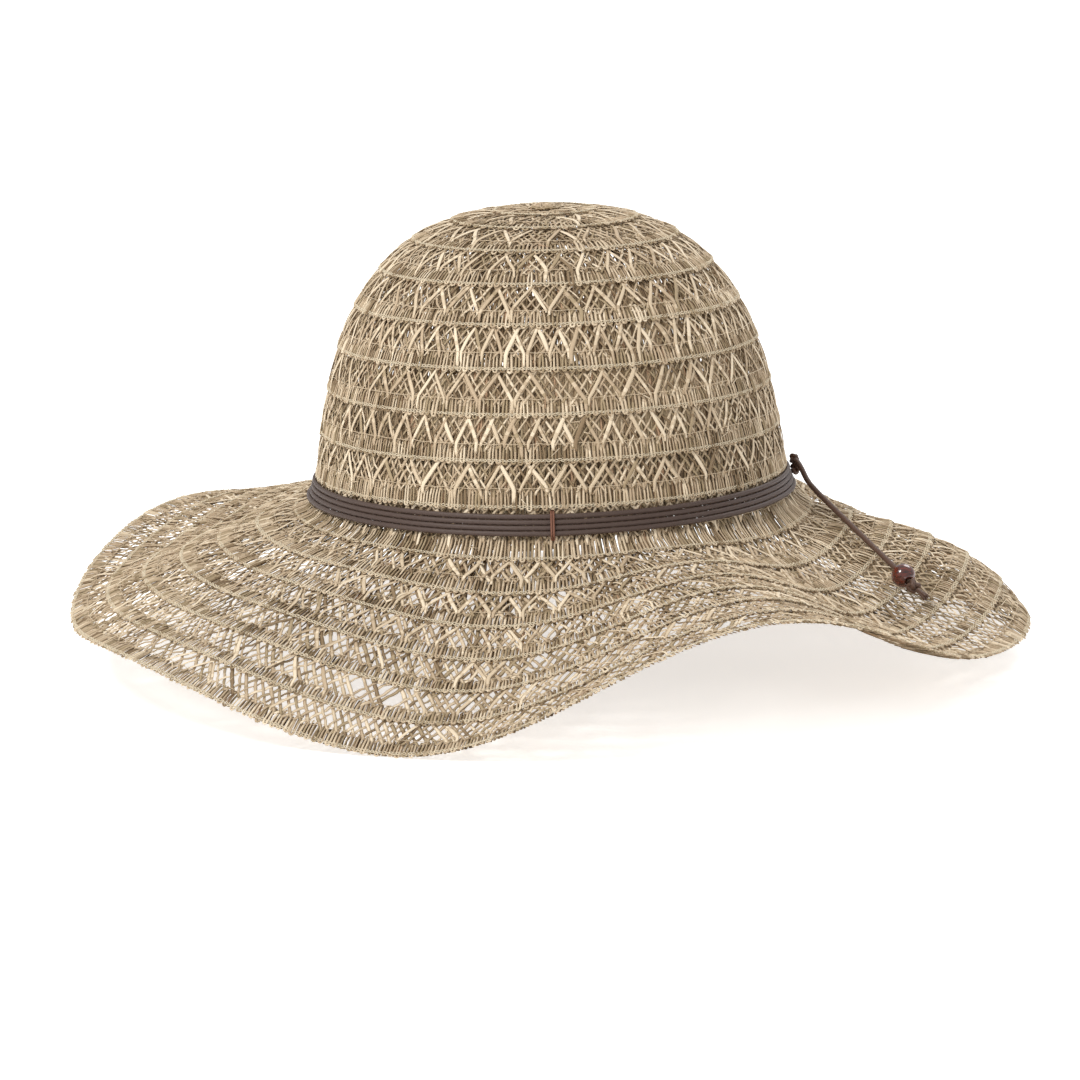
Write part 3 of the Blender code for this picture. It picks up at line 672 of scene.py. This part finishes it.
def crown_button():
    """The start of the braid, wound up into a small rosette."""
    rng = np.random.default_rng(640)
    parts = []
    rim = TIP_RADIUS + LAP
    for coil, (inner, outer, lift) in enumerate(BUTTON_COILS):
        steps = 60
        turn = np.linspace(0, 2 * math.pi * 1.6, steps) + coil * 2.1
        radius = np.linspace(inner, outer, steps) + rng.normal(0, 0.00005, steps)
        height = CROWN_HEIGHT + lift + 0.0002 * np.sin(turn * 5)
        points = np.stack((radius * np.sin(turn), -radius * np.cos(turn), height), axis=-1)
        points = (points @ TURN.T + SHIFT)[None]
        normals = np.broadcast_to(TURN @ np.array((0.0, 0.0, 1.0)), points.shape)
        parts.append(strand_mesh(points, normals, 0.0015, 0.0008, [[LIGHT, TAN, OLIVE][coil]], 6))
    spokes = BUTTON_SPOKES
    angle = (np.arange(spokes) * 2 * math.pi / spokes)[:, None] + np.linspace(0, 0.9, 6)[None, :]
    radius = np.linspace(0.0010, rim + 0.0008, 6)[None, :] * np.ones((spokes, 1))
    height = CROWN_HEIGHT + np.linspace(0.0024, 0.0004, 6)[None, :] * np.ones((spokes, 1))
    points = np.stack((radius * np.sin(angle), -radius * np.cos(angle), height), axis=-1) @ TURN.T + SHIFT
    normals = np.broadcast_to(TURN @ np.array((0.0, 0.0, 1.0)), points.shape)
    parts.append(strand_mesh(points, normals, 0.0009, 0.0004, pick_tones(rng, spokes)))
    make_object("crown_button", parts, straw, replaces=("crown_tip",))


for row_number in range(CROWN_ROWS + BRIM_ROWS):
    braid_row(row_number)
    seam_stitches(row_number)
crown_button()


# ---------------- cord tubes
def ring_quads(steps, corners):
    """Quads over a grid of vertices that closes on itself both ways."""
    ids = np.arange(steps * corners).reshape(steps, corners)
    turn = np.roll(ids, -1, axis=1)
    return np.stack((ids, np.roll(ids, -1, axis=0), np.roll(turn, -1, axis=0), turn), axis=-1).reshape(-1, 4)


def tube_frames(points):
    """Directions along, beside and over a route, that turn as little as they can."""
    heading = np.gradient(points, axis=0)
    heading /= np.linalg.norm(heading, axis=1, keepdims=True)
    side = np.cross(heading[0], (0.0, 0.0, 1.0))
    if np.linalg.norm(side) < 1e-3:
        side = np.cross(heading[0], (0.0, 1.0, 0.0))
    sides = []
    for direction in heading:
        side = side - direction * np.dot(side, direction)
        side = side / np.linalg.norm(side)
        sides.append(side)
    sides = np.array(sides)
    return heading, sides, np.cross(heading, sides)


def twisted_tube(points, radius, strands, pitch, groove, corners):
    """A cord laid up from strands that wind round it once in each pitch."""
    points = np.asarray(points, float)
    _, side, up = tube_frames(points)
    reach = np.concatenate(([0.0], np.cumsum(np.linalg.norm(np.diff(points, axis=0), axis=1))))
    turns = 2 * math.pi * np.arange(corners) / corners
    lay = 2 * math.pi * reach[:, None] / pitch
    ridge = np.abs(np.cos(strands / 2 * (turns[None, :] + lay)))
    size = radius * (1 - groove + groove * ridge)
    verts = (points[:, None] + side[:, None] * (size * np.cos(turns))[..., None]
             + up[:, None] * (size * np.sin(turns))[..., None])
    steps = len(points)
    ids = np.arange(steps * corners).reshape(steps, corners)
    turn = np.roll(ids, -1, axis=1)
    quads = np.stack((ids[:-1], turn[:-1], turn[1:], ids[1:]), axis=-1).reshape(-1, 4)
    caps = []
    for ring in (ids[0, ::-1], ids[-1]):
        for k in range(1, corners - 1, 2):
            caps.append(ring[[0, k, k + 1, (k + 2) % corners]])
    quads = np.concatenate((quads, np.array(caps)))
    uv = np.stack((np.repeat(reach, corners), np.tile(turns, steps) * radius), axis=-1)
    return verts.reshape(-1, 3), quads, np.zeros(len(quads), int), uv


def to_world(points):
    return np.asarray(points, float) @ TURN.T + SHIFT


def smooth_route(points, count):
    """Evenly spaced points on one smooth curve (a Catmull-Rom spline) through the given points."""
    guides = [Vector(p) for p in points]
    guides = [2 * guides[0] - guides[1]] + guides + [2 * guides[-1] - guides[-2]]
    fine = []
    for p0, p1, p2, p3 in zip(guides, guides[1:], guides[2:], guides[3:]):
        for step in range(SPLINE_STEPS):
            t = step / SPLINE_STEPS
            fine.append(0.5 * ((2 * p1) + (p2 - p0) * t + (2 * p0 - 5 * p1 + 4 * p2 - p3) * t * t
                               + (3 * p1 - p0 - 3 * p2 + p3) * t * t * t))
    fine.append(guides[-2])
    reach = [0.0]
    for a, b in zip(fine, fine[1:]):
        reach.append(reach[-1] + (b - a).length)
    even = np.linspace(0.0, reach[-1], count)
    return np.stack([np.interp(even, reach, [p[axis] for p in fine]) for axis in range(3)], axis=-1)


# ---------------- cord band
band_look = fibre_look("band_cord_look", (80, 64, 57), 0.50, *CORD_FIBRES)
tie_look = fibre_look("tie_look", (126, 84, 66), 0.6, *CORD_FIBRES)
tail_look = fibre_look("tail_cord_look", (92, 68, 56), 0.5, *CORD_FIBRES)


def band_line(cord, angles):
    """Middle of one of the band's cords: along, and offset from the surface, as the CAD stacks them."""
    row = CROWN_ROWS - 1
    apart = 2 * BAND_CORD_RADIUS + GAP
    base = STRAW_THICKNESS / 2 + GAP + BAND_CORD_RADIUS + BAND_STAND_OFF
    along = row_end(row - 1) + BAND_DROP + BAND_CORD_RADIUS + BAND_SAG * np.cos(angles) ** 2
    for _ in range(cord):
        last, _ = on_hat(along, angles, row_offset(row, along) + base)
        here = last
        short = np.linalg.norm(here - last, axis=-1) < apart
        while short.any():
            along = np.where(short, along + STACKING_STEP, along)
            here, _ = on_hat(along, angles, row_offset(row, along) + base)
            short = np.linalg.norm(here - last, axis=-1) < apart
    return along, row_offset(row, along) + base


def band_cords():
    """The waxed cords of the band, ridged by their fine braid and lying a little unevenly."""
    steps, corners = BAND_STEPS, BAND_SIDES
    angles = np.linspace(0, 2 * math.pi, steps, endpoint=False)
    for cord in range(BAND_CORDS):
        along, offset = band_line(cord, angles)
        points, normals = on_hat(along, angles, offset)
        rng = np.random.default_rng(320 + cord)
        wave = np.convolve(rng.normal(0, 1, steps + 60), np.hanning(61) / 30, "valid")
        points = points + normals * wave[:, None] * 0.00006
        reach = np.arange(steps) * float(np.linalg.norm(points[1] - points[0]))
        turns = 2 * math.pi * np.arange(corners) / corners
        heading = np.roll(points, -1, axis=0) - np.roll(points, 1, axis=0)
        heading /= np.linalg.norm(heading, axis=1, keepdims=True)
        side = np.cross(heading, normals)
        braid = np.cos(4 * turns[None, :] + 2 * math.pi * reach[:, None] / BAND_BRAID_PITCH)
        size = BAND_LOOKS_RADIUS * (0.95 + 0.05 * braid)
        verts = (points[:, None] + side[:, None] * (size * np.cos(turns) * 1.08)[..., None]
                 + normals[:, None] * (size * np.sin(turns) * 0.9)[..., None])
        quads = ring_quads(steps, corners)
        uv = np.stack((np.repeat(reach, corners), np.tile(turns, steps) * BAND_CORD_RADIUS), axis=-1)
        made = (verts.reshape(-1, 3), quads, np.zeros(len(quads), int), uv)
        make_object(f"band_strand_{cord + 1}", [made], [band_look],
                    replaces=(f"band_cord_{cord + 1}",))


def front_tie():
    """Two turns of thread over the band's cords, their ends tucked in above and below."""
    lines = [band_line(cord, np.zeros(1)) for cord in range(BAND_CORDS)]
    clear = BAND_CORD_RADIUS + GAP + TIE_RADIUS
    along = [float(line[0][0]) for line in lines]
    offset = [float(line[1][0]) + clear for line in lines]
    reach = 2.2 * BAND_CORD_RADIUS
    along = [along[0] - reach, along[0] - 0.7 * reach] + along + [along[-1] + 0.7 * reach, along[-1] + reach]
    before = [offset[0] - 2 * clear, offset[0] - 0.5 * clear]
    after = [offset[-1] - 0.5 * clear, offset[-1] - 2 * clear]
    offset = before + offset + after
    parts = []
    for shift in (-TIE_SPREAD, TIE_SPREAD):
        points, _ = on_hat(np.array(along), np.full(len(along), shift / CROWN_RADIUS), np.array(offset))
        parts.append(twisted_tube(smooth_route(points, 60), TIE_LOOKS_RADIUS, 2, 0.0016, 0.2, 10))
    make_object("front_tie", parts, [tie_look], replaces=("band_front_tie",))


band_cords()
front_tie()


# ---------------- side knots
def cord_lump(name, replaces, outward, upward):
    """A knot: one length of cord wound over itself, inside an ellipsoid."""
    centre = node_middle(replaces)
    back = upward.cross(outward)
    size = [half * 0.62 for half in KNOT_SIZE]
    turn = np.linspace(0, 2 * math.pi, 160)
    body = 1 + 0.42 * np.cos(3 * turn)
    route = []
    for t, b in zip(turn, body):
        local = (outward * (size[0] * math.sin(3 * t)) + back * (size[1] * b * math.cos(2 * t))
                 + upward * (size[2] * b * math.sin(2 * t)))
        route.append(centre + local)
    made = twisted_tube([tuple(p) for p in route], KNOT_CORD_RADIUS, 3, 0.003, 0.14, 12)
    make_object(name, [made], [tail_look], replaces=(replaces,))


def node_middle(name):
    low, high = (Vector(corner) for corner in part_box(name))
    return (low + high) / 2


lean3 = lean.to_3x3()
knot_out = lean3 @ Vector((math.sin(math.radians(KNOT_ANGLE)), -math.cos(math.radians(KNOT_ANGLE)), 0.0))
knot_up = lean3 @ Vector((0.0, 0.0, 1.0))
cord_lump("side_knot_low", "side_knot_lower", knot_out, knot_up)
cord_lump("side_knot_high", "side_knot_upper", knot_out, knot_up)


# ---------------- loose cord end with its bead
tail_heading = (Vector(TAIL_ROUTE[-1]) - Vector(TAIL_ROUTE[-2])).normalized()
far_end = Vector(TAIL_ROUTE[-1]) + tail_heading * (BEAD_SPAN + GAP)
fine_line = to_world(smooth_route([*TAIL_ROUTE, far_end], 260))
tail_tube = twisted_tube(fine_line, TAIL_RADIUS, 3, CORD_PITCH, 0.13, 18)
tail_cord = make_object("tail_strand", [tail_tube], [tail_look], body="tail",
                        replaces=("tail_cord",))


def lathe(outline, centre, axis, corners):
    """A turned shape: outline gives radius and place along the axis, from one end to the other and back."""
    quat = Vector((0, 0, 1)).rotation_difference(axis).to_matrix()
    turns = 2 * math.pi * np.arange(corners) / corners
    radius = np.array([p[0] for p in outline])[:, None]
    height = np.array([p[1] for p in outline])[:, None] * np.ones((1, corners))
    local = np.stack((radius * np.cos(turns), radius * np.sin(turns), height), axis=-1)
    verts = local @ np.array(quat).T + np.array(centre)
    quads = ring_quads(len(outline), corners)[:, (0, 3, 2, 1)]
    uv = np.stack((height.reshape(-1), np.tile(turns, len(outline)) * 0.004), axis=-1)
    return verts.reshape(-1, 3), quads, np.zeros(len(quads), int), uv


def wood_look():
    """Dark polished wood: long grain across the bead, under lacquer."""
    made, tree, shader = plain("bead_wood_look", linear(88, 34, 24), 0.2, 0.6)
    shader.inputs["Coat Weight"].default_value = 0.7
    shader.inputs["Coat Roughness"].default_value = 0.06
    place = tree.nodes.new("ShaderNodeTexCoord").outputs["Object"]
    ramp = tree.nodes.new("ShaderNodeValToRGB")
    ramp.color_ramp.elements[0].position = 0.35
    ramp.color_ramp.elements[0].color = linear(46, 20, 16)
    ramp.color_ramp.elements[1].position = 0.72
    ramp.color_ramp.elements[1].color = linear(122, 46, 30)
    tree.links.new(stretched_noise(tree, place, (260.0, 1500.0, 1500.0), 4.0), ramp.inputs["Fac"])
    tree.links.new(ramp.outputs["Color"], shader.inputs["Base Color"])
    return made


def bead():
    """A barrel turned from wood, with a small lip round its bore."""
    half = BEAD_SPAN / 2
    bore = TAIL_RADIUS + GAP
    lip = math.acos(half / BEAD_RADIUS)
    outline = []
    for step in range(BEAD_STEPS + 1):
        turn = lip + (math.pi - 2 * lip) * step / BEAD_STEPS
        outline.append((BEAD_RADIUS * math.sin(turn), BEAD_RADIUS * math.cos(turn)))
    rim = outline[0][0]
    outline[0:0] = [(bore, half * 0.9), (bore + 0.0002, half), ((bore + rim) / 2, half + 0.00012)]
    outline += [((bore + rim) / 2, -half - 0.00012), (bore + 0.0002, -half), (bore, -half * 0.9)]
    made = lathe(outline, node_middle("wood_bead"), lean3 @ tail_heading, BEAD_SIDES)
    return make_object("bead_turned", [made], [wood_look()], body="bead",
                       replaces=("wood_bead",))


def end_knot():
    """An overhand knot: the cord makes three crossings in a tight bundle."""
    centre = np.array(node_middle("tail_end_knot"))
    axis = lean3 @ tail_heading
    side = axis.cross(lean3 @ Vector((0, 0, 1))).normalized()
    up = side.cross(axis)
    turn = np.linspace(0.0, 2 * math.pi, 200, endpoint=False)
    x = np.sin(turn) + 2 * np.sin(2 * turn)
    y = np.cos(turn) - 2 * np.cos(2 * turn)
    z = -np.sin(3 * turn)
    reach = END_KNOT_RADIUS - TAIL_RADIUS * 0.9
    route = centre + (np.outer(x / 3, np.array(up)) + np.outer(y / 3, np.array(side))
                      + np.outer(z * 0.62, np.array(axis))) * reach * 1.1
    route = np.concatenate((route, route[:1]))
    made = twisted_tube(route, TAIL_RADIUS * 0.92, 3, CORD_PITCH, 0.12, 14)
    return make_object("tail_knot", [made], [tail_look], body="tail",
                       replaces=("tail_end_knot",))


def cut_end():
    """The cord's cut end: its strands spread and fray a little past the knot."""
    start = np.array(node_middle("tail_cut_end"))
    axis = np.array(lean3 @ tail_heading)
    side = np.cross(axis, (0, 0, 1.0))
    side /= np.linalg.norm(side)
    up = np.cross(side, axis)
    parts = []
    step = np.linspace(-0.62, 0.5, 40)[:, None] * STUB_LENGTH
    rng = np.random.default_rng(77)
    for strand in range(FRAYED_STRANDS + 1):
        turn = 2 * math.pi * strand / FRAYED_STRANDS
        spread = (0.35 + 0.5 * (step / STUB_LENGTH + 0.63) ** 1.5) * TAIL_RADIUS
        if strand == FRAYED_STRANDS:
            spread = step * 0
        outwards = side * math.cos(turn) + up * math.sin(turn)
        route = start + axis * step * rng.uniform(0.9, 1.05) + outwards * spread
        parts.append(twisted_tube(route, FRAYED_RADIUS, 2, 0.002, 0.15, 8))
    return make_object("tail_frayed_end", parts, [tail_look], body="tail",
                       replaces=("tail_cut_end",))


wood_bead = bead()
knot = end_knot()
frayed = cut_end()


# ---------------- sweatband
def fabric_look():
    """Plain woven cotton tape."""
    made, tree, shader = plain("sweatband_look", linear(196, 176, 146), 0.9, 0.2)
    place = strand_place(tree)
    waves = []
    for direction in "XY":
        wave = tree.nodes.new("ShaderNodeTexWave")
        wave.bands_direction = direction
        wave.inputs["Scale"].default_value = 500.0
        tree.links.new(place, wave.inputs["Vector"])
        waves.append(wave)
    weave = tree.nodes.new("ShaderNodeMath")
    weave.operation = "MULTIPLY"
    tree.links.new(waves[0].outputs["Fac"], weave.inputs[0])
    tree.links.new(waves[1].outputs["Fac"], weave.inputs[1])
    add_bump(tree, shader, weave.outputs["Value"], 0.6, 0.0002)
    shader.inputs["Sheen Weight"].default_value = 0.3
    return made


def sweatband():
    """A woven tape stretched round inside the crown, and the stitches along both its edges."""
    bottom = WALL_END - SWEATBAND_BASE
    top = bottom - SWEATBAND_HEIGHT
    middle = -(UPPER_EDGE_DEPTH + STRAW_THICKNESS / 2 + SWEATBAND_INSET + SWEATBAND_THICKNESS / 2)
    count, rows = TAPE_STEPS, TAPE_ROWS
    angles = np.linspace(0, 2 * math.pi, count, endpoint=False)[None, :]
    share = np.concatenate((np.linspace(0, 1, rows), np.linspace(1, 0, rows)))[:, None]
    along = top + (bottom - top) * share
    face = np.concatenate((np.ones(rows), -np.ones(rows)))[:, None]
    swell = 0.00008 * np.sin(angles * 40) * np.sin(math.pi * share)
    offset = middle + face * SWEATBAND_THICKNESS * 0.4 + swell
    points, _ = on_hat(along * np.ones_like(angles), angles * np.ones_like(along), offset)
    steps = 2 * rows
    quads = ring_quads(steps, count)
    radius = float(look_up(np.array([(top + bottom) / 2]), np.zeros(1))[0, 0])
    uv = np.stack(((angles * radius * np.ones_like(along)).reshape(-1),
                   (along * np.ones_like(angles)).reshape(-1)), axis=-1)
    made = (points.reshape(-1, 3), quads, np.zeros(len(quads), int), uv)
    band = make_object("sweatband_tape", [made], [fabric_look()], replaces=("sweatband",))
    ring = points[rows + rows // 2]
    girth = float(np.linalg.norm(np.roll(ring, -1, axis=0) - ring, axis=1).sum())
    inner = middle - SWEATBAND_THICKNESS / 2
    stitches = round(girth / TAPE_STITCH)
    parts = []
    turn = np.linspace(0, 2 * math.pi * stitches, stitches * 8, endpoint=False)
    lift = inner - 0.00015 + 0.0003 * np.cos(turn)
    for height in (SEAM_FROM_EDGE * 2, SWEATBAND_HEIGHT - SEAM_FROM_EDGE * 2):
        along = np.full((1, len(turn)), bottom - height)
        points, normals = on_hat(along, (turn / stitches)[None, :], lift[None, :])
        parts.append(strand_mesh(points, normals, 0.0004, 0.0004, [0], closed=True))
    make_object("sweatband_stitches", parts, [seam_thread], replaces=("sweatband_stitching",))


sweatband()


# ---------------- floor, light and camera
FLOOR_HALF = 14.0
FLOOR_DROP = 0.0008          # under the lowest straws
FLOOR_GLOW = 0.60            # lightens the soft shadow under the brim
WORLD_LIGHT = 0.62
LIGHT_TARGET = (0.0, 0.0, 0.08)


def area_light(name, place, size, power, colour=(1.0, 1.0, 1.0)):
    lamp = bpy.data.lights.new(name, "AREA")
    lamp.shape = "DISK"
    lamp.size = size
    lamp.energy = power
    lamp.color = colour
    item = add_item(name, lamp)
    item.location = place
    item.rotation_euler = (Vector(LIGHT_TARGET) - Vector(place)).to_track_quat("-Z", "Y").to_euler()


def studio():
    """A wide pale floor, even light all round, and two soft lamps."""
    floor_mesh = bpy.data.meshes.new("floor")
    half = FLOOR_HALF
    corners = [(-half, -half, 0), (half, -half, 0), (half, half, 0), (-half, half, 0)]
    floor_mesh.from_pydata(corners, [], [(0, 1, 2, 3)])
    floor_look, _, shader = plain("floor_look", (0.90, 0.90, 0.90, 1.0), 0.9, 0.0)
    shader.inputs["Emission Color"].default_value = (1.0, 1.0, 1.0, 1.0)
    shader.inputs["Emission Strength"].default_value = FLOOR_GLOW
    floor_mesh.materials.append(floor_look)
    floor = add_item("floor", floor_mesh)
    floor.location.z = -FLOOR_DROP
    world = bpy.data.worlds.new("studio")
    world.use_nodes = True
    background = world.node_tree.nodes["Background"]
    background.inputs["Color"].default_value = (1.0, 1.0, 1.0, 1.0)
    background.inputs["Strength"].default_value = WORLD_LIGHT
    bpy.context.scene.world = world
    area_light("key", (-1.1, -1.0, 1.9), 0.7, 30.0, (1.0, 0.985, 0.96))
    area_light("back", (0.9, 1.4, 1.6), 1.2, 14.0)


CAMERA_DISTANCE = 1.9176
CAMERA_DROP = 9.566          # below level, in the hat's own leaning frame
CAMERA_ROLL = 1.467
TARGET_HEIGHT = -0.0021
FOCAL_LENGTH = 164.12        # in millimetres, for a sensor 36 mm wide
SENSOR_WIDTH = 36.0
SHIFT_RIGHT = -0.01064
SHIFT_UP = -0.05362


def add_camera():
    """The camera looks slightly down at the front of the hat, and is placed in the hat's own frame."""
    drop = math.radians(CAMERA_DROP)
    roll = math.radians(CAMERA_ROLL)
    forward = Vector((0.0, math.cos(drop), -math.sin(drop)))
    right = Vector((1.0, 0.0, 0.0))
    up = Vector((0.0, math.sin(drop), math.cos(drop)))
    across = right * math.cos(roll) - up * math.sin(roll)
    above = right * math.sin(roll) + up * math.cos(roll)
    place = Vector((0.0, 0.0, TARGET_HEIGHT)) - forward * CAMERA_DISTANCE
    axes = Matrix((across, above, -forward)).transposed().to_4x4()
    axes.translation = place
    lens = bpy.data.cameras.new("camera")
    lens.lens = FOCAL_LENGTH
    lens.sensor_width = SENSOR_WIDTH
    lens.shift_x = SHIFT_RIGHT
    lens.shift_y = SHIFT_UP
    lens.clip_end = 60.0
    camera = add_item("camera", lens)
    camera.matrix_world = HAT @ axes
    bpy.context.scene.camera = camera


studio()
add_camera()
bpy.context.scene.view_settings.view_transform = "Standard"
